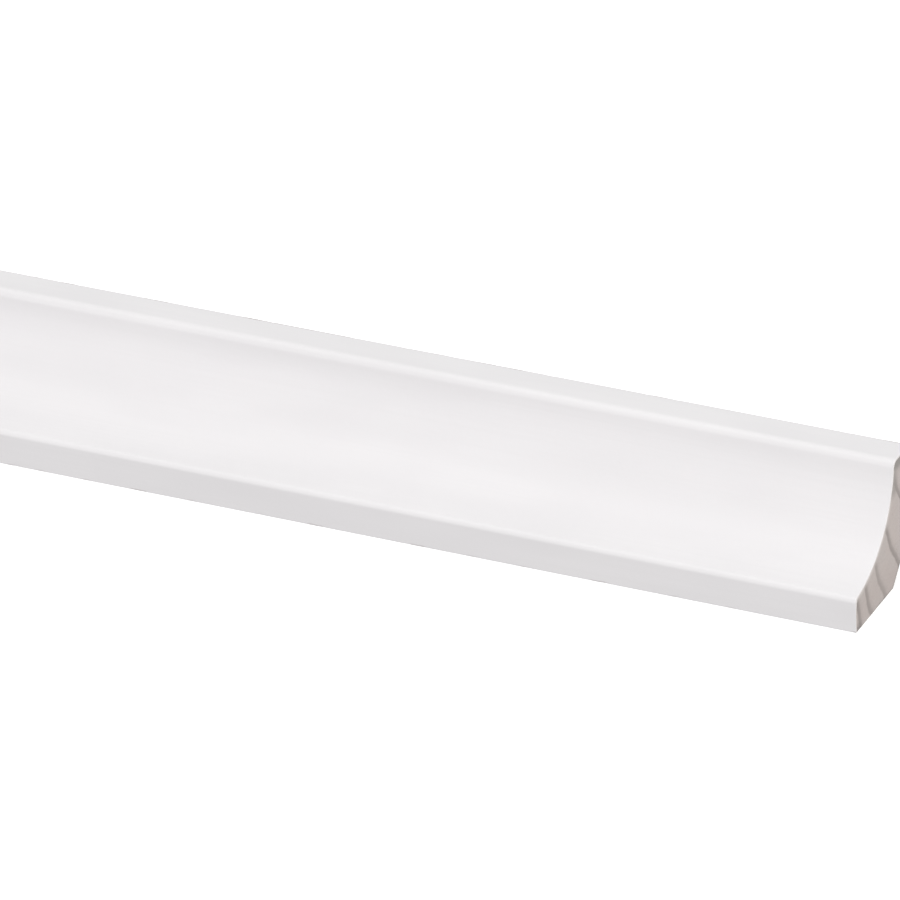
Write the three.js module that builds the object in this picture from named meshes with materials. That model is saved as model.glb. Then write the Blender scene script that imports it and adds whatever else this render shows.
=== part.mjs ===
// A length of cove moulding, planed from one piece of softwood and painted white.
//
// Millimetres, +Z up. +X runs along the moulding and +Y points to the back, towards the wall.
// The origin is the middle of the bounding box, at the height of the bottom seat.
// The moulding stands on its bottom seat with the cove facing forwards and up.

import * as THREE from "three";

// Driving dimensions.
const FACE_WIDTH = 41.275; // width of the flat board that the profile is cut from
const THICKNESS = 19.05; // from the slanted back to the two rounded lips
const LENGTH = 216; // between the two square cuts
const LIP_HEIGHT = 6.9; // flat part of each lip
const LIP_ROUND = 1.3; // radius where a lip turns into the cove
const COVE_RADIUS = 23.2;
const ARRIS = 0.3; // leg of the small flat on each sharp long edge
const ARC_STEPS = 24; // flats along each arc of the profile

// The profile is drawn with its depth from the front along x and its height along y. It is the
// same about the line that runs at 45 degrees through the middle of the cove, so one seat lies
// on the underside and its twin stands at the back.
const LEG = FACE_WIDTH / Math.SQRT2;
const SEAT = (THICKNESS - LIP_ROUND) * Math.SQRT2 - LIP_HEIGHT + LIP_ROUND;
const DIAGONAL_ARRIS = ARRIS / Math.SQRT2;

// How far the centre of the cove lies in front of the bottom lip, where the cove and the rounds
// of the lips touch without a corner.
function coveSetback() {
  const rise = LEG - LIP_HEIGHT;
  const sum = LIP_ROUND + rise;
  const reach = COVE_RADIUS + LIP_ROUND;
  const square = LIP_ROUND ** 2 + rise ** 2 - reach ** 2;
  return (Math.sqrt(sum ** 2 - 2 * square) - sum) / 2;
}

function profile() {
  const setback = coveSetback();
  const coveX = -setback;
  const coveY = LEG + setback;
  const towardsLip = Math.atan2(LIP_HEIGHT - coveY, LIP_ROUND - coveX);
  const towardsTop = -Math.PI / 2 - towardsLip;
  const lipCentre = LEG - LIP_HEIGHT;

  const shape = new THREE.Shape();
  shape.moveTo(0, ARRIS);
  shape.lineTo(0, LIP_HEIGHT);
  shape.absarc(LIP_ROUND, LIP_HEIGHT, LIP_ROUND, Math.PI, Math.PI + towardsLip, true);
  shape.absarc(coveX, coveY, COVE_RADIUS, towardsLip, towardsTop, false);
  shape.absarc(lipCentre, LEG - LIP_ROUND, LIP_ROUND, Math.PI + towardsTop, Math.PI / 2, true);
  shape.lineTo(LEG - ARRIS, LEG);
  shape.lineTo(LEG, LEG - ARRIS);
  shape.lineTo(LEG, LEG - SEAT + ARRIS);
  shape.lineTo(LEG - DIAGONAL_ARRIS, LEG - SEAT - DIAGONAL_ARRIS);
  shape.lineTo(SEAT + DIAGONAL_ARRIS, DIAGONAL_ARRIS);
  shape.lineTo(SEAT - ARRIS, 0);
  shape.lineTo(ARRIS, 0);
  shape.closePath();
  return shape;
}

function mouldingGeometry() {
  return new THREE.ExtrudeGeometry(profile(), {
    depth: LENGTH,
    steps: 1,
    bevelEnabled: false,
    curveSegments: ARC_STEPS / 2,
  });
}

function coveMoulding() {
  const paint = new THREE.MeshStandardMaterial({
    color: 0xebeaeb,
    roughness: 0.45,
    metalness: 0,
  });
  const mesh = new THREE.Mesh(mouldingGeometry(), paint);
  mesh.name = "cove_moulding";

  // Depth turns to +Y, height to +Z and the run of the moulding to +X.
  const depthAxis = new THREE.Vector3(0, 1, 0);
  const heightAxis = new THREE.Vector3(0, 0, 1);
  const lengthAxis = new THREE.Vector3(1, 0, 0);
  const turn = new THREE.Matrix4().makeBasis(depthAxis, heightAxis, lengthAxis);
  mesh.quaternion.setFromRotationMatrix(turn);
  mesh.position.set(-LENGTH / 2, -LEG / 2, 0);
  return mesh;
}

const part = new THREE.Group();
part.add(coveMoulding());

export default part;
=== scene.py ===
# A length of white painted softwood cove moulding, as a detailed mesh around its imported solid.
# Metres, +Z up. +X runs along the moulding, towards the cut end that the camera sees, and -Y
# is the front.

import math

import bpy
import numpy as np
from mathutils import Matrix, Vector, noise
from mathutils.geometry import delaunay_2d_cdt


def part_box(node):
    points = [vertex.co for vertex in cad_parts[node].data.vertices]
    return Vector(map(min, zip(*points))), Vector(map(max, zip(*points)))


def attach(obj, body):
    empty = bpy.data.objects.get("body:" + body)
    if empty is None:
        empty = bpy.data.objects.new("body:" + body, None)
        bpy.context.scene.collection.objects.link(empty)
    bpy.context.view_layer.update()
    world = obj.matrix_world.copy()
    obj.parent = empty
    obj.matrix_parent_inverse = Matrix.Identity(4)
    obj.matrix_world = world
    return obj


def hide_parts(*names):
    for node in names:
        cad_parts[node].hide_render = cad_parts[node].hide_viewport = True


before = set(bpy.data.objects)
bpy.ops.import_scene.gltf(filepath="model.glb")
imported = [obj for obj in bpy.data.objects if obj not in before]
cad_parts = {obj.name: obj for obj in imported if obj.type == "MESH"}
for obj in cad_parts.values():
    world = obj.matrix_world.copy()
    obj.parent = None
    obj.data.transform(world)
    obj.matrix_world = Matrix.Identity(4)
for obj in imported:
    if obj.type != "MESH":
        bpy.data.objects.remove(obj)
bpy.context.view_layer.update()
LOW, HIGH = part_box("cove_moulding")

MM = 0.001
QUARTER_TURN = math.pi / 2
RNG = np.random.default_rng(24)

# The moulding's profile. Depth runs back from the front lip and height up from the bottom seat.
# Sanding has left the upper lip a little rounder than the lower one.
LEG = HIGH.z - LOW.z
LENGTH = HIGH.x - LOW.x
THICKNESS = 19.05 * MM
LIP_HEIGHT = 6.9 * MM
LIP_ROUND = 1.3 * MM
COVE_RADIUS = 23.2 * MM
UPPER_ROUND = 1.9 * MM
EDGE_ROUND = 0.18 * MM
SEAT = (THICKNESS - LIP_ROUND) * math.sqrt(2) - LIP_HEIGHT + LIP_ROUND

# How far apart the rows of the profile are: on its flats in view and its hidden flats, round
# the lower and the upper nose, in the cove, and round the square and the blunt edges. Each
# flat has one more row close to either end, which keeps its shading flat.
SEEN_STEP = 0.6 * MM
HIDDEN_STEP = 0.9 * MM
LIP_STEP = 0.12 * MM
UPPER_STEP = 0.15 * MM
COVE_STEP = 0.45 * MM
SQUARE_EDGE_STEP = 0.07 * MM
BLUNT_EDGE_STEP = 0.05 * MM
CLOSE_STEP = 0.1 * MM

# The profile is repeated along the moulding: at even steps up to a margin from the cuts, and
# then at a few places counted from where the cut's round begins.
STATION = 0.75 * MM
STATION_MARGIN = 3 * MM
STATIONS_BY_CUT = (1.6 * MM, 0.8 * MM, 0.35 * MM)

# The surface is never quite true: slow and fine waves in the paint, and worn sharp edges. The
# wear fades out within a reach of an edge, and is there only where its noise is above a level.
SLOW_WAVE = 0.008 * MM
FINE_WAVE = 0.002 * MM
EDGE_WEAR = 0.22 * MM
EDGE_REACH = 0.35 * MM
WEAR_LEAST = 0.05
WEAR_LEVEL = 0.28
SHARP_EDGES = ((0, 0), (LEG, LEG), (LEG, LEG - SEAT), (SEAT, 0))

# The saw cut at each end: its round, with a loop at each of these turns in degrees, and the
# ragged rim of paint round it. The rim is narrow on the front of the lip and on the hidden
# sides, and wide where paint has built up at the lower nose.
CUT_ROUND = 0.12 * MM
CUT_TURNS = (30, 60, 90)
PAINT_RIM = 0.38 * MM
FRONT_RIM = 0.22 * MM
THIN_RIM = 0.14 * MM
LIP_BUILD_UP = 0.4 * MM
BUILD_UP_REACH = 1.6 * MM
RAGGED_RIM = 0.1 * MM
FRAYED_RIM = 0.05 * MM
THIN_RAGGED = 0.2

# The triangles of the bare wood: their size, how far they stray from an even grid and how near
# the rim they begin, as shares of that size, and the depth of the saw marks.
END_GRID = 0.3 * MM
END_JITTER = 0.12
END_CLEAR = 0.55
SAW_RELIEF = 0.018 * MM

# Scales of the noise that shapes the mesh, along x, depth and height, in cells to the metre.
SLOW_SCALE = (45, 210, 210)
FINE_SCALE = (160, 620, 620)
WEAR_SCALE = (420, 40, 40)
RAGGED_SCALE = (1, 900, 900)
FRAYED_SCALE = (1, 2600, 2600)
SAW_SCALE = (1, 320, 2400)

# The growth rings. The pith lies far behind the moulding and above it, so the rings cross the
# cut end as long arcs, and the lean makes them stand steeper towards the front lip.
PITH_DEPTH = 319.4 * MM
PITH_HEIGHT = 133.8 * MM
RING_LEAN = -15.4
LEAN_DEPTH = 10 * MM
LEAN_HEIGHT = 7 * MM
RING_RADII = tuple(r * MM for r in (304.6, 314.6, 324.9, 333.1, 339.1, 343.5))
RING_STRENGTH = (0.6, 0.95, 0.95, 0.72, 0.88, 1)
RING_RELIEF = 0.035 * MM

# How dark a ring gets on its way out from the pith: a slow rise and a sudden end.
RING_SHAPE = ((-2.5, 0), (-1.5, 0.2), (-0.9, 0.75), (-0.1, 1), (0.3, 0))
RING_START = RING_RADII[0] - 4 * MM
RING_SPAN = RING_RADII[-1] + 4 * MM - RING_START

# The materials by their place in the mesh's list.
PAINT, THIN_COAT, BARE_END = range(3)

# A side counts as hidden where its outward normal points more than this to the back or down,
# and as the front of the lip where it points more than this to the front.
HIDDEN_SLOPE = 0.4
FRONT_SLOPE = 0.99

# Below, a pair says where something is 0 and where it is fully there, and a wander is how far
# noise moves it. Scales of noise are along x, depth and height, in cells to the metre.

# Colours of the white paint: its duller and brighter patches, the grain that shows in it, bare
# spots on the worn edges, the torn edge at the cut and the paint that laps over the edges.
PAINT_DULL = (0.775, 0.76, 0.769)
PAINT_BRIGHT = (0.795, 0.78, 0.788)
PAINT_GRAIN = (0.771, 0.757, 0.764)
PAINT_WORN = (0.42, 0.38, 0.37)
PAINT_TORN = (0.62, 0.575, 0.555)
PAINT_LAP = (0.78, 0.765, 0.78)

# Relief of the white paint: orange peel, raised grain and nibs of dust.
PEEL_SCALE = (1100, 1100, 1100)
PEEL_RELIEF = 0.012 * MM
GRAIN_SCALE = (14, 1300, 1300)
GRAIN_RELIEF = 0.01 * MM
NIB_SCALE = (150, 150, 150)
NIB_RADIUS = 0.03
NIB_RELIEF = 0.02 * MM

# Its brighter patches, the bald ones along the sharp edges, how near to an edge the paint is
# gone, and how near to a cut it is torn.
MOTTLE_SCALE = (35, 120, 120)
BALD_SCALE = (170, 20, 20)
BALD_RANGE = (0.57, 0.68)
BALD_SHARE = 0.4
FLAKE_SCALE = (600, 400, 400)
FLAKE_WANDER = 0.35 * MM
WORN_BAND = (0.32 * MM, 0.1 * MM)
TORN_BAND = (0.11 * MM, 0.01 * MM)

# A scrape along the top back edge: where it starts, where its deep part runs out and where it
# ends, how much of the paint it takes, and how much more in its deep part.
SCRAPE_START = (-44 * MM, -42.6 * MM)
SCRAPE_DEEP = (-38.5 * MM, -41 * MM)
SCRAPE_END = (-17 * MM, -21 * MM)
SCRAPE_SHARE = 0.4
SCRAPE_MORE = 0.55

# Colours of the thin coat: thinner and fuller patches, and the rings and fibres under it.
COAT_THIN = (0.72, 0.69, 0.65)
COAT_FULL = (0.75, 0.735, 0.715)
COAT_RING = (0.6, 0.53, 0.46)
COAT_FIBRE = (0.64, 0.58, 0.51)

# Patches and relief of the thin coat: fibres, the steps of the planer's knives, hard rings and
# the paint of the front, which laps over the edges by a reach that wanders.
PATCHY_SCALE = (55, 160, 160)
FIBRE_SCALE = (30, 2400, 2400)
FIBRE_RELIEF = 0.012 * MM
KNIFE_STEP = 1.4 * MM
KNIFE_RELIEF = 0.004 * MM
HARD_RELIEF = 0.02 * MM
LAP_SCALE = (260, 60, 60)
LAP_WANDER = 5 * MM
LAP_BAND = (0.3 * MM, -0.4 * MM)
LAP_RELIEF = 0.03 * MM

# Colours of the bare end grain, from the bottom of the cut to its top, and of what marks it.
WOOD_LOW = (0.425, 0.375, 0.357)
WOOD_HIGH = (0.475, 0.424, 0.405)
WOOD_GREY = (0.45, 0.418, 0.402)
WOOD_PORE = (0.34, 0.29, 0.27)
WOOD_RAY = (0.52, 0.465, 0.44)
WOOD_RING = (0.27, 0.238, 0.225)
WOOD_RESIN = (0.27, 0.2, 0.16)
WOOD_SAWN = (0.32, 0.28, 0.26)
WOOD_SOAKED = (0.64, 0.6, 0.58)
WOOD_NOSE_DARK = (0.284, 0.265, 0.252)
WOOD_EDGE_DARK = (0.17, 0.155, 0.15)

# Grain and relief of the cut end. The rings run back and down by these shares, and the scale
# of the rays is along the rings, out from the pith and along x.
RING_WAY = (0.407, 0.914)
RAY_SCALE = (2600, 160, 50)
RAY_RELIEF = 0.03 * MM
PORE_SCALE = (400, 3600, 3600)
PORE_RELIEF = 0.05 * MM
SAW_MARK_SCALE = (50, 300, 2600)
SAW_MARK_RELIEF = 0.04 * MM
PATCH_SCALE = (50, 170, 170)
RESIN_SCALE = (300, 620, 620)
RESIN_RADIUS = 0.13

# Paler wood from some height up, and the paint that has soaked in along the cove.
PALE_BAND = (-3 * MM, 17 * MM)
PALE_WANDER = 5 * MM
SOAKED_BAND = (1.1 * MM, 0.1 * MM)
SOAKED_WANDER = 0.9 * MM

# The wood is darker round the upper nose: all of it from some height up, and a weaker part
# below that, which fades out towards the back.
NOSE_DARK_TOP = (25.4 * MM, 27.6 * MM)
NOSE_DARK_FOOT = (20 * MM, 22.5 * MM)
NOSE_DARK_BACK = 21.2 * MM
NOSE_DARK_FADE = 3.2 * MM
NOSE_DARK_SHARE = 0.65

# Darker lines on the cut end: along the bottom seat from some depth on, a weaker one along the
# slanted back, and round the tip at the bottom front edge.
SEAT_BAND = (0.45 * MM, 0.1 * MM)
SEAT_WANDER = 0.25 * MM
SEAT_FROM = (9 * MM, 13 * MM)
SLANT_BAND = (0.85 * MM, 0.2 * MM)
SLANT_WANDER = 0.3 * MM
SLANT_SHARE = 0.5
TIP_DEPTH = 1.4 * MM
TIP_BAND = (2.4 * MM, 0.5 * MM)

# The studio: name, tilt and elevation in degrees, power in watts and colour of each softbox,
# their distance and size, and how strong the even light of the room is.
SOFTBOXES = (
    ("right_softbox", 75, 20, 28, (1, 0.99, 0.965)),
    ("top_softbox", 0, 74, 13.3, (1, 1, 0.995)),
    ("left_softbox", -40, 8, 10.6, (0.99, 0.965, 1)),
    ("back_softbox", 0, 125, 4.4, (0.96, 1, 0.99)),
)
SOFTBOX_DISTANCE = 2
SOFTBOX_SIZE = 0.9
ROOM_LIGHT = 0.575
WHITE = (1, 1, 1, 1)

# The floor is matt, and gives off a little light so that it looks pure white.
FLOOR_REACH = 12
FLOOR_COLOUR = (0.96, 0.96, 0.96, 1)
FLOOR_ROUGHNESS = 0.9
FLOOR_GLOW = 0.38


class Value:
    """A number that a material works out at each place, with ordinary arithmetic."""

    def __init__(self, graph, socket):
        self.graph = graph
        self.socket = socket

    def math(self, operation, *others):
        node = self.graph.add("Math", operation=operation)
        for socket, value in zip(node.inputs, (self, *others)):
            self.graph.feed(socket, value)
        return Value(self.graph, node.outputs[0])

    def __add__(self, other):
        return self.math("ADD", other)

    def __sub__(self, other):
        return self.math("SUBTRACT", other)

    def __mul__(self, other):
        return self.math("MULTIPLY", other)

    __radd__ = __add__
    __rmul__ = __mul__

    def __rsub__(self, other):
        return self * -1 + other

    def larger(self, other):
        return self.math("MAXIMUM", other)

    def smaller(self, other):
        return self.math("MINIMUM", other)

    def step(self, low, high):
        """0 at low, 1 at high and smooth between them. Low may be the larger."""
        node = self.graph.add("MapRange", interpolation_type="SMOOTHSTEP")
        for name, value in (("Value", self), ("From Min", low), ("From Max", high)):
            self.graph.feed(node.inputs[name], value)
        return Value(self.graph, node.outputs[0])


class Graph:
    """The nodes of one material, made by short calls."""

    def __init__(self, name):
        self.material = bpy.data.materials.new(name)
        self.material.use_nodes = True
        self.tree = self.material.node_tree
        self.shader = self.tree.nodes["Principled BSDF"]

    def add(self, kind, **settings):
        node = self.tree.nodes.new("ShaderNode" + kind)
        for key, value in settings.items():
            setattr(node, key, value)
        return node

    def feed(self, socket, value):
        if isinstance(value, Value):
            self.tree.links.new(value.socket, socket)
        elif isinstance(value, tuple):
            socket.default_value = (*value, 1)
        else:
            socket.default_value = value

    def place(self):
        """The place on the moulding: x, depth from the front and height."""
        where = self.add("TexCoord")
        parts = self.add("SeparateXYZ")
        self.tree.links.new(where.outputs["Object"], parts.inputs[0])
        x, y, z = (Value(self, out) for out in parts.outputs)
        return x, y + LEG / 2, z

    def textured(self, kind, place, scale):
        """A texture node that is looked up at a place, times a scale for each of its parts."""
        scaled = [value * factor for value, factor in zip(place, scale)]
        point = self.add("CombineXYZ")
        for socket, value in zip(point.inputs, scaled):
            self.feed(socket, value)
        node = self.add(kind)
        self.tree.links.new(point.outputs[0], node.inputs["Vector"])
        self.feed(node.inputs["Scale"], 1)
        return node

    def noise(self, place, scale, detail=0):
        """Smooth noise around 0.5, with finer noise on top where detail is more than 0."""
        node = self.textured("TexNoise", place, scale)
        self.feed(node.inputs["Detail"], detail)
        return Value(self, node.outputs["Fac"])

    def specks(self, place, scale, radius):
        """1 in the middle of small round specks, one to each cell of a jumbled grid."""
        node = self.textured("TexVoronoi", place, scale)
        return Value(self, node.outputs["Distance"]).step(radius, 0)

    def mix(self, share, first, second):
        """A colour from first, where share is 0, to second, where it is 1."""
        # The node's colours are its inputs 6 and 7 and its output 2.
        node = self.add("Mix", data_type="RGBA")
        self.feed(node.inputs[0], share)
        self.feed(node.inputs[6], first)
        self.feed(node.inputs[7], second)
        return Value(self, node.outputs[2])

    def ramp(self, share, stops):
        """A value that runs straight from stop to stop, each a place from 0 to 1 and a value."""
        node = self.add("ValToRGB")
        self.feed(node.inputs[0], share)
        elements = node.color_ramp.elements
        while len(elements) < len(stops):
            elements.new(1)
        for element, (place, value) in zip(elements, stops):
            element.position = place
            element.color = (value, value, value, 1)
        return Value(self, node.outputs["Color"])

    def finish(self, colour, roughness, relief):
        """Sets the shader. Relief is a height in metres."""
        self.feed(self.shader.inputs["Base Color"], colour)
        self.feed(self.shader.inputs["Roughness"], roughness)
        bump = self.add("Bump")
        self.feed(bump.inputs["Strength"], 1)
        self.feed(bump.inputs["Distance"], 1)
        self.feed(bump.inputs["Height"], relief)
        self.tree.links.new(bump.outputs[0], self.shader.inputs["Normal"])
        return self.material


def sine(value):
    return value.math("SINE") if isinstance(value, Value) else np.sin(value)


def length_of(a, b):
    square = a * a + b * b
    return square.math("SQRT") if isinstance(square, Value) else np.sqrt(square)


def ring_radius(x, depth, height):
    """Distance from the pith, with the lean and the wander that real rings have.

    The mesh asks with arrays and the materials with values of their own, so the relief and
    the colours of the rings lie in the same places. Each sine has a height in metres and turns
    in radians to the metre.
    """
    lean = RING_LEAN * ((depth - LEAN_DEPTH) * (height - LEAN_HEIGHT))
    wave = 0.2 * MM * sine(571 * height - 343 * depth - 0.83)
    ripple = 0.05 * MM * sine(2300 * height - 700 * depth + 0.4)
    drift = 0.9 * MM * sine(23 * x + 0.6)
    radius = length_of(depth - PITH_DEPTH, height - PITH_HEIGHT)
    return radius + lean + wave + ripple + drift


def ring_stops():
    """How hard and dark the wood is against the radius, as places from 0 to 1 and values."""
    stops = []
    for radius, strength in zip(RING_RADII, RING_STRENGTH):
        for offset, value in RING_SHAPE:
            place = (radius + offset * MM - RING_START) / RING_SPAN
            stops.append((place, value * strength))
    return stops


def latewood(radius):
    """How hard and dark the wood is at each radius of an array, as the materials' ramp gives."""
    places, values = zip(*ring_stops())
    return np.interp((radius - RING_START) / RING_SPAN, places, values)


def cove_setback():
    """How far the centre of the cove lies in front of the bottom lip."""
    rise = LEG - LIP_HEIGHT
    total = LIP_ROUND + rise
    reach = COVE_RADIUS + LIP_ROUND
    square = LIP_ROUND**2 + rise**2 - reach**2
    return (math.sqrt(total**2 - 2 * square) - total) / 2


def nose(radius):
    """The centre of the bottom lip's round, and its direction from the centre of the cove."""
    setback = cove_setback()
    across = radius + setback
    down = math.sqrt((COVE_RADIUS + radius) ** 2 - across**2)
    return (radius, LEG + setback - down), math.atan2(-down, across)


def straight(start, end, spacing):
    """Rows of depth, height and outward normal along a flat, with one more close to each end."""
    start, end = np.array(start), np.array(end)
    run = end - start
    length = np.hypot(*run)
    count = max(2, round(length / spacing))
    shares = np.linspace(0, 1, count + 1)
    close = min(CLOSE_STEP / length, shares[1] / 2)
    shares = np.sort(np.append(shares, (close, 1 - close)))
    normal = np.array((-run[1], run[0])) / length
    return [(*(start + run * s), *normal) for s in shares]


def arc(centre, radius, start, end, spacing, facing=1):
    """Rows along an arc, without its two ends. Facing is -1 where the arc is hollow."""
    count = max(3, round(radius * abs(end - start) / spacing))
    rows = []
    for angle in np.linspace(start, end, count + 1)[1:-1]:
        way = np.array((math.cos(angle), math.sin(angle)))
        rows.append((*(np.array(centre) + radius * way), *(facing * way)))
    return rows


def section():
    """The profile as an array of depth, height and outward normal.

    It starts at the bottom front edge and runs up over the cove to the back, then down and
    round underneath.
    """
    setback = cove_setback()
    cove = (-setback, LEG + setback)
    lip, to_lip = nose(LIP_ROUND)
    twin, to_twin = nose(UPPER_ROUND)
    top = (LEG - twin[1], LEG - twin[0])
    to_top = -QUARTER_TURN - to_twin
    edge = EDGE_ROUND
    half = math.tan(QUARTER_TURN / 4) * edge
    slant = half / math.sqrt(2)

    def touch(angle):
        way = np.array((math.cos(angle), math.sin(angle)))
        return (*(np.array(cove) + COVE_RADIUS * way), *-way)

    rows = straight((0, edge), (0, lip[1]), SEEN_STEP)
    rows += arc(lip, LIP_ROUND, math.pi, math.pi + to_lip, LIP_STEP)
    rows.append(touch(to_lip))
    rows += arc(cove, COVE_RADIUS, to_lip, to_top, COVE_STEP, -1)
    rows.append(touch(to_top))
    rows += arc(top, UPPER_ROUND, math.pi + to_top, QUARTER_TURN, UPPER_STEP)
    rows += straight((top[0], LEG), (LEG - edge, LEG), SEEN_STEP)
    rows += arc((LEG - edge, LEG - edge), edge, QUARTER_TURN, 0, SQUARE_EDGE_STEP)
    rows += straight((LEG, LEG - edge), (LEG, LEG - SEAT + half), HIDDEN_STEP)
    blunt = -QUARTER_TURN / 2
    rows += arc((LEG - edge, LEG - SEAT + half), edge, 0, blunt, BLUNT_EDGE_STEP)
    rows += straight((LEG - slant, LEG - SEAT - slant), (SEAT + slant, slant), HIDDEN_STEP)
    rows += arc((SEAT - half, edge), edge, blunt, -QUARTER_TURN, BLUNT_EDGE_STEP)
    rows += straight((SEAT - half, 0), (edge, 0), HIDDEN_STEP)
    rows += arc((edge, edge), edge, -QUARTER_TURN, -math.pi, SQUARE_EDGE_STEP)
    return np.array(rows)


def soft_noise(x, depth, height, scale):
    """Smooth noise from -1 to 1 with its own scale along each axis.

    Callers add a whole number to x, or multiply a side of -1 or 1, to get a pattern that no
    other call shares.
    """
    return noise.noise(Vector((x * scale[0], depth * scale[1], height * scale[2])))


def end_mesh(outline):
    """Vertices and triangles of one cut face inside its rim, as depth and height.

    The third result tells for each vertex which points of the outline it stands for.
    """
    rim = [Vector(p) for p in outline]
    low, high = outline.min(0), outline.max(0)
    row_step = END_GRID * math.sqrt(3) / 2
    rows = int((high[1] - low[1]) / row_step) + 1
    columns = int((high[0] - low[0]) / END_GRID) + 1
    grid = []
    for row in range(rows):
        shift = END_GRID * (row % 2) / 2
        for column in range(columns):
            grid.append((low[0] + shift + column * END_GRID, low[1] + row * row_step))
    grid = np.array(grid) + RNG.uniform(-END_JITTER, END_JITTER, (len(grid), 2)) * END_GRID
    nearest = np.hypot(*(grid[:, None] - outline[None]).transpose(2, 0, 1)).min(1)
    inside = np.zeros(len(grid), bool)
    for a, b in zip(outline, np.roll(outline, -1, 0)):
        if a[1] == b[1]:
            continue
        crosses = (a[1] > grid[:, 1]) != (b[1] > grid[:, 1])
        slope = (b[0] - a[0]) / (b[1] - a[1])
        inside ^= crosses & (grid[:, 0] < a[0] + (grid[:, 1] - a[1]) * slope)
    grid = grid[inside & (nearest > END_GRID * END_CLEAR)]
    points = rim + [Vector(p) for p in grid]
    inside_only = 1
    tolerance = 1e-9
    made = delaunay_2d_cdt(points, [], [list(range(len(rim)))], inside_only, tolerance)
    return np.array([tuple(v) for v in made[0]]), [tuple(f) for f in made[2]], made[3]


def stations():
    """Places along the moulding where its profile is repeated, closer together by the cuts."""
    reach = LENGTH / 2 - STATION_MARGIN
    count = round((LENGTH - 2 * STATION_MARGIN) / STATION) + 1
    middle = np.linspace(-reach, reach, count)
    near = np.array(STATIONS_BY_CUT)
    left = CUT_ROUND - LENGTH / 2
    return np.concatenate(((left,), left + near[::-1], middle, -left - near, (-left,)))


def wear_of(flat):
    """How much each row of the profile takes part in the wear of the sharp edges."""
    wear = np.zeros(len(flat))
    for edge in SHARP_EDGES:
        distance = np.hypot(*(flat - edge).T)
        wear = np.maximum(wear, np.exp(-((distance / EDGE_REACH) ** 2)))
    return wear


def sunk(x, depth, height, worn):
    """How far the surface lies below its true profile, where worn tells how near an edge is."""
    slow = 1 + soft_noise(x, depth, height, SLOW_SCALE)
    fine = 1 + soft_noise(x + 3, depth, height, FINE_SCALE)
    lost = SLOW_WAVE * slow + FINE_WAVE * fine
    if worn > WEAR_LEAST:
        knock = soft_noise(x + 7, depth, height, WEAR_SCALE) - WEAR_LEVEL
        lost += EDGE_WEAR * worn * max(0, knock)
    return lost


def rim_width(side, depth, height, normal, hidden):
    """How far the paint reaches in from the edge of a cut at one row of the profile."""
    ragged = RAGGED_RIM * soft_noise(side * 9, depth, height, RAGGED_SCALE)
    ragged += FRAYED_RIM * soft_noise(side * 7, depth, height, FRAYED_SCALE)
    if hidden:
        return THIN_RIM + THIN_RAGGED * ragged
    from_lip = math.hypot(depth, height - LIP_HEIGHT) / BUILD_UP_REACH
    width = FRONT_RIM if normal[0] < -FRONT_SLOPE else PAINT_RIM
    return width + ragged + LIP_BUILD_UP * math.exp(-(from_lip**2))


class Skin:
    """The surface of the moulding as it grows, in loops of vertices round the profile."""

    def __init__(self):
        rows = section()
        self.flat = rows[:, :2]
        self.normal = rows[:, 2:]
        self.hidden = [n[0] > HIDDEN_SLOPE or n[1] < -HIDDEN_SLOPE for n in self.normal]
        self.vertices = []
        self.faces = []
        self.slots = []

    def add_loop(self, x, points):
        first = len(self.vertices)
        self.vertices.extend((x, d - LEG / 2, h) for d, h in points)
        return list(range(first, first + len(points)))

    def join(self, a, b):
        """A band of faces between two loops, the first of them nearer to +X."""
        for i in range(len(a)):
            j = (i + 1) % len(a)
            self.faces.append((a[i], a[j], b[j], b[i]))
            self.slots.append(THIN_COAT if self.hidden[i] and self.hidden[j] else PAINT)

    def add_sides(self):
        """The long sides. Gives the loops next to the left and the right cut."""
        wear = wear_of(self.flat)
        loops = []
        for x in stations():
            lost = [sunk(x, *point, worn) for point, worn in zip(self.flat, wear)]
            loops.append(self.add_loop(x, self.flat - self.normal * np.array(lost)[:, None]))
        for a, b in zip(loops, loops[1:]):
            self.join(b, a)
        return loops[0], loops[-1]

    def extend(self, side, last, x, inset):
        """Adds a loop after the last one, moved in by inset, a number or one for each row."""
        loop = self.add_loop(x, self.flat - self.normal * inset)
        if side > 0:
            self.join(loop, last)
        else:
            self.join(last, loop)
        return loop

    def add_end(self, side, last):
        """One cut end: its rounded edge, the rim of paint and the bare wood inside it."""
        for turn in CUT_TURNS:
            inset = CUT_ROUND * (1 - math.cos(math.radians(turn)))
            out = CUT_ROUND * math.sin(math.radians(turn))
            last = self.extend(side, last, side * (LENGTH / 2 - CUT_ROUND + out), inset)
        widths = []
        for point, normal, hidden in zip(self.flat, self.normal, self.hidden):
            widths.append(rim_width(side, *point, normal, hidden))
        inset = np.array(widths)[:, None]
        rim = self.extend(side, last, side * LENGTH / 2, inset)
        self.add_wood(side, rim, self.flat - self.normal * inset)

    def add_wood(self, side, rim, outline):
        """The bare wood inside the rim, lower between the hard rings and in the saw marks."""
        points, triangles, origin = end_mesh(outline)
        hard = latewood(ring_radius(side * LENGTH / 2, points[:, 0], points[:, 1]))
        index = []
        for k, (depth, height) in enumerate(points):
            known = [o for o in origin[k] if o < len(rim)]
            if known:
                index.append(rim[known[0]])
                continue
            saw = 0.5 + 0.5 * soft_noise(side, depth, height, SAW_SCALE)
            lost = RING_RELIEF * (1 - hard[k]) + SAW_RELIEF * saw
            index.append(len(self.vertices))
            self.vertices.append((side * (LENGTH / 2 - lost), depth - LEG / 2, height))
        for a, b, c in triangles:
            corners = (index[a], index[b], index[c])
            self.faces.append(corners if side > 0 else corners[::-1])
            self.slots.append(BARE_END)


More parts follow.
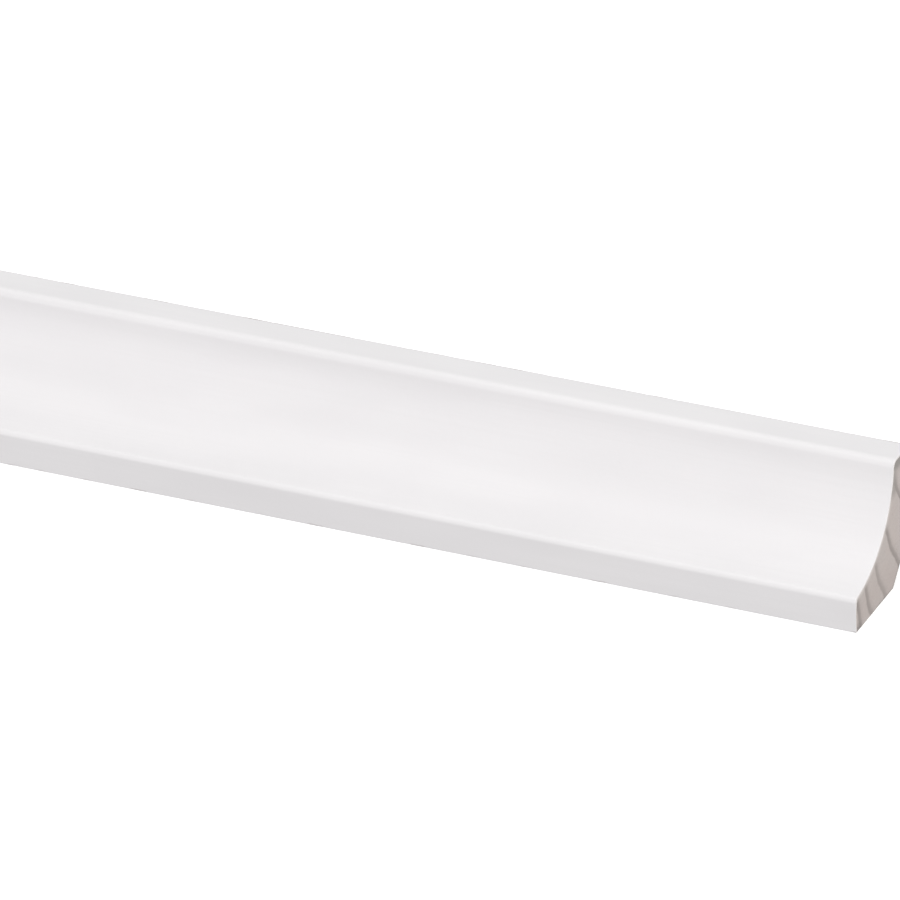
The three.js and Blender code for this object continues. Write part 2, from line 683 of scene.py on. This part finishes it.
def build_moulding():
    """The whole moulding as one closed mesh."""
    skin = Skin()
    left, right = skin.add_sides()
    skin.add_end(-1, left)
    skin.add_end(1, right)

    mesh = bpy.data.meshes.new("cove_moulding_dressed")
    mesh.from_pydata(skin.vertices, [], skin.faces)
    mesh.update()
    mesh.polygons.foreach_set("material_index", skin.slots)
    mesh.polygons.foreach_set("use_smooth", [True] * len(skin.faces))
    moulding = bpy.data.objects.new("painted_cove_moulding", mesh)
    bpy.context.scene.collection.objects.link(moulding)
    return moulding


def white_paint():
    """Satin paint over primed softwood, thin or gone in places along the sharp edges.

    Where it ends at a cut it is thin and torn, and the wood shows through.
    """
    g = Graph("white_paint")
    place = g.place()
    x, depth, height = place
    peel = g.noise(place, PEEL_SCALE)
    grain = g.noise(place, GRAIN_SCALE, 1)
    mottle = g.noise(place, MOTTLE_SCALE, 1)
    nibs = g.specks(place, NIB_SCALE, NIB_RADIUS)
    colour = g.mix(mottle.step(0.3, 0.7), PAINT_DULL, PAINT_BRIGHT)
    colour = g.mix(grain.step(0.35, 0.75) * 0.4, colour, PAINT_GRAIN)

    bottom_edge = length_of(depth, height)
    top_edge = length_of(depth - LEG, height - LEG)
    flakes = g.noise(place, FLAKE_SCALE, 2)
    bald = g.noise(place, BALD_SCALE).step(*BALD_RANGE)
    scrape = x.step(*SCRAPE_START) * x.step(*SCRAPE_END) * height.step(LEG / 2, LEG)
    scrape = scrape * (SCRAPE_SHARE + SCRAPE_MORE * x.step(*SCRAPE_DEEP))
    worn_here = (bald * BALD_SHARE).larger(scrape)
    near = bottom_edge.smaller(top_edge) - FLAKE_WANDER * flakes
    worn = near.step(*WORN_BAND) * worn_here
    colour = g.mix(worn, colour, PAINT_WORN)

    cut = x.math("ABSOLUTE").step(LENGTH / 2 - TORN_BAND[0], LENGTH / 2 - TORN_BAND[1])
    colour = g.mix(cut * 0.5, colour, PAINT_TORN)

    roughness = 0.34 + 0.12 * mottle + 0.08 * peel
    relief = PEEL_RELIEF * peel + GRAIN_RELIEF * grain + NIB_RELIEF * nibs
    return g.finish(colour, roughness, relief)


def thin_coat():
    """One thin coat of primer on the hidden sides, over planed wood.

    The grain and the marks of the planer's knives show through, and the paint of the front
    laps raggedly over the edges.
    """
    g = Graph("thin_coat")
    place = g.place()
    x, depth, height = place
    radius = ring_radius(x, depth, height)
    hard = g.ramp((radius - RING_START) * (1 / RING_SPAN), ring_stops())
    fibre = g.noise(place, FIBRE_SCALE, 3)
    patchy = g.noise(place, PATCHY_SCALE, 3)
    knives = sine(x * (2 * math.pi / KNIFE_STEP) + 3 * patchy)
    colour = g.mix(patchy.step(0.3, 0.7), COAT_THIN, COAT_FULL)
    colour = g.mix(hard * 0.45, colour, COAT_RING)
    colour = g.mix(fibre.step(0.5, 0.75) * 0.35, colour, COAT_FIBRE)

    reach = LAP_WANDER * g.noise(place, LAP_SCALE, 3)
    front = (depth - reach).step(*LAP_BAND)
    top = (height + reach).step(LEG - LAP_BAND[0], LEG - LAP_BAND[1])
    lapped = front.larger(top)
    colour = g.mix(lapped, colour, PAINT_LAP)

    roughness = 0.62 - 0.18 * lapped + 0.1 * patchy
    relief = FIBRE_RELIEF * fibre + KNIFE_RELIEF * knives
    relief = relief + HARD_RELIEF * hard + LAP_RELIEF * lapped
    return g.finish(colour, roughness, relief)


def bare_end_grain():
    """Sawn end grain: pale early wood, dark hard rings, rays, pores and saw marks.

    The paint has soaked a little way in along the cove, and the wood is darker round the upper
    nose, along the bottom seat and along the slanted back.
    """
    g = Graph("bare_end_grain")
    place = g.place()
    x, depth, height = place
    radius = ring_radius(x, depth, height)
    hard = g.ramp((radius - RING_START) * (1 / RING_SPAN), ring_stops())
    along = RING_WAY[0] * depth - RING_WAY[1] * height
    rays = g.noise((along, radius, x), RAY_SCALE, 1)
    pores = g.noise(place, PORE_SCALE, 1)
    patch = g.noise(place, PATCH_SCALE, 2)
    saw = g.noise(place, SAW_MARK_SCALE, 1)
    resin = g.specks(place, RESIN_SCALE, RESIN_RADIUS)

    pale = (height + PALE_WANDER * patch).step(*PALE_BAND)
    colour = g.mix(pale, WOOD_LOW, WOOD_HIGH)
    colour = g.mix(patch.step(0.4, 0.65) * 0.5, colour, WOOD_GREY)
    colour = g.mix(pores.step(0.4, 0.75) * 0.28, colour, WOOD_PORE)
    colour = g.mix(rays.step(0.5, 0.75) * 0.25, colour, WOOD_RAY)
    colour = g.mix(hard, colour, WOOD_RING)
    colour = g.mix(resin * 0.5, colour, WOOD_RESIN)
    colour = g.mix(saw.step(0.5, 0.8) * 0.16, colour, WOOD_SAWN)

    setback = cove_setback()
    from_cove = length_of(depth + setback, height - LEG - setback) - COVE_RADIUS
    soaked = (from_cove - SOAKED_WANDER * pores).step(*SOAKED_BAND)
    colour = g.mix(soaked * 0.5, colour, WOOD_SOAKED)

    # The wood is made darker round the upper nose: all of it near the top, and a weaker band
    # below.
    foot = (depth - NOSE_DARK_BACK).step(NOSE_DARK_FADE, 0) * height.step(*NOSE_DARK_FOOT)
    nose_dark = (foot * NOSE_DARK_SHARE).larger(height.step(*NOSE_DARK_TOP))
    colour = g.mix(nose_dark, colour, WOOD_NOSE_DARK)

    # The wood is made darker along the bottom seat, along the slanted back and round the tip at
    # the front.
    seat_line = (height - SEAT_WANDER * patch).step(*SEAT_BAND)
    seat_line = seat_line * depth.step(*SEAT_FROM)
    from_slant = (SEAT - depth + height) * (1 / math.sqrt(2))
    slant_line = (from_slant - SLANT_WANDER * patch).step(*SLANT_BAND) * SLANT_SHARE
    tip = length_of(depth - TIP_DEPTH, height).step(*TIP_BAND)
    edge_dark = seat_line.larger(tip).larger(slant_line) * pores.step(0.2, 0.6)
    colour = g.mix(edge_dark * 0.7, colour, WOOD_EDGE_DARK)

    roughness = 0.82 - 0.14 * hard
    relief = RAY_RELIEF * rays + SAW_MARK_RELIEF * saw - PORE_RELIEF * pores
    return g.finish(colour, roughness, relief)


def add_camera():
    """A long lens, from the front, above and to the right, turned a little about its own axis."""
    azimuth = math.radians(25.873)
    elevation = math.radians(29.719)
    roll = math.radians(-2.476)
    distance = 2.51098
    front_corner = Vector((HIGH.x, LOW.y, LOW.z))
    aim = front_corner + Vector((-82.381, -17.251, 35.785)) * MM

    data = bpy.data.cameras.new("camera")
    data.sensor_width = 36
    data.lens = 489.56
    data.clip_start = 0.1
    data.clip_end = 30
    camera = bpy.data.objects.new("camera", data)
    level = math.cos(elevation)
    back = Vector((math.sin(azimuth) * level, -math.cos(azimuth) * level, math.sin(elevation)))
    turn = (-back).to_track_quat("-Z", "Y").to_matrix().to_4x4() @ Matrix.Rotation(roll, 4, "Z")
    camera.matrix_world = Matrix.Translation(aim + back * distance) @ turn
    bpy.context.scene.collection.objects.link(camera)
    bpy.context.scene.camera = camera


def add_floor():
    """A wide plain floor that throws no light on the moulding."""
    far = FLOOR_REACH
    corners = [(-far, -far, 0), (far, -far, 0), (far, far, 0), (-far, far, 0)]
    mesh = bpy.data.meshes.new("floor")
    mesh.from_pydata(corners, [], [(0, 1, 2, 3)])
    floor = bpy.data.objects.new("floor", mesh)
    bpy.context.scene.collection.objects.link(floor)
    material = bpy.data.materials.new("pale_floor")
    material.use_nodes = True
    shader = material.node_tree.nodes["Principled BSDF"]
    shader.inputs["Base Color"].default_value = FLOOR_COLOUR
    shader.inputs["Roughness"].default_value = FLOOR_ROUGHNESS
    shader.inputs["Emission Color"].default_value = WHITE
    shader.inputs["Emission Strength"].default_value = FLOOR_GLOW
    mesh.materials.append(material)
    floor.visible_diffuse = False
    floor.visible_glossy = False


def add_softbox(name, tilt, elevation, power, colour):
    """A square area light that points at the moulding.

    The elevation turns about the moulding, with 0 straight in front and 90 overhead, and the
    tilt leans the light towards +X.
    """
    data = bpy.data.lights.new(name, "AREA")
    data.shape = "SQUARE"
    data.size = SOFTBOX_SIZE
    data.energy = power
    data.color = colour
    lamp = bpy.data.objects.new(name, data)
    a, e = math.radians(tilt), math.radians(elevation)
    way = Vector((math.sin(a), -math.cos(a) * math.cos(e), math.cos(a) * math.sin(e)))
    target = Vector((0, 0, LEG / 2))
    turn = way.to_track_quat("Z", "Y").to_matrix().to_4x4()
    lamp.matrix_world = Matrix.Translation(target + way * SOFTBOX_DISTANCE) @ turn
    bpy.context.scene.collection.objects.link(lamp)


def add_light():
    """The softboxes, the even light of the room and a plain view of the colours."""
    scene = bpy.context.scene
    world = bpy.data.worlds.new("studio")
    scene.world = world
    world.use_nodes = True
    background = world.node_tree.nodes["Background"]
    background.inputs["Color"].default_value = WHITE
    background.inputs["Strength"].default_value = ROOM_LIGHT
    for softbox in SOFTBOXES:
        add_softbox(*softbox)
    scene.view_settings.view_transform = "Standard"
    scene.view_settings.look = "None"


add_camera()
add_floor()
add_light()
moulding = build_moulding()
for make in (white_paint, thin_coat, bare_end_grain):
    moulding.data.materials.append(make())
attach(moulding, "root")
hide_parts("cove_moulding")
